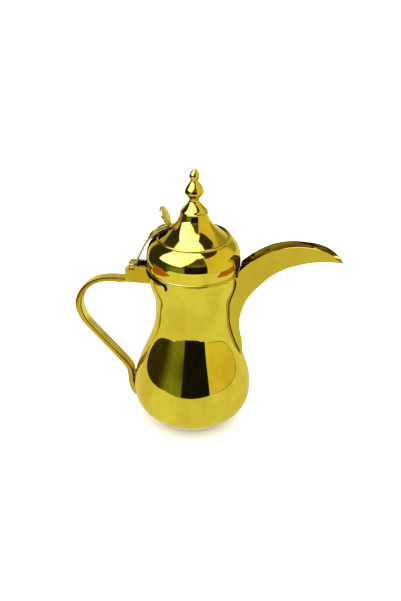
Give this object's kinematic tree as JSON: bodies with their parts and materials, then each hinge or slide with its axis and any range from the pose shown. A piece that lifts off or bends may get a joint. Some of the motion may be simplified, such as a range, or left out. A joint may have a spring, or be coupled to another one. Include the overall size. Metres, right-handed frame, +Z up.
{
  "type": "dallah coffee pot",
  "caption": "Waisted brass coffee pot with a crescent spout, flat bar handle and a hinged, pointed lid with turned finial.",
  "frame": {"origin": "centre of the flat base on the axis of the turned body", "axes": "+Z up along the body's axis, +X towards the spout, -X towards the handle and hinge"},
  "size_m": [0.2428, 0.112, 0.25],
  "materials": {
    "spun_brass": "mirror polished",
    "cast_brass": "polished",
    "brass_hardware": "satin, slightly tarnished"
  },
  "bodies": {
    "pot": {"body_bowl": "spun_brass", "body_neck": "spun_brass", "base_disc": "spun_brass", "mouth_ring": "spun_brass", "spout_near_wall": "spun_brass", "spout_far_wall": "spun_brass", "spout_top_strip": "spun_brass", "handle": "cast_brass", "handle_foot_rivets": "brass_hardware", "handle_foot_burrs": "brass_hardware", "hinge_bracket": "cast_brass", "hinge_pin": "brass_hardware"},
    "lid": {"lid_dome": "spun_brass", "lid_rim_bead": "spun_brass", "lid_collar": "spun_brass", "lid_ridge_ring": "spun_brass", "lid_cone": "spun_brass", "lid_strap": "cast_brass", "thumb_piece": "cast_brass", "strap_rivets": "brass_hardware", "strap_burrs": "brass_hardware", "finial": "cast_brass", "finial_washer": "brass_hardware", "finial_nut": "brass_hardware"}
  },
  "joints": [
    {"name": "lid_hinge", "type": "hinge", "parent": "pot", "child": "lid", "pos_m": [-0.0552, 0, 0.153], "axis": [0, -1, 0], "range_deg": [0, 105]}
  ]
}
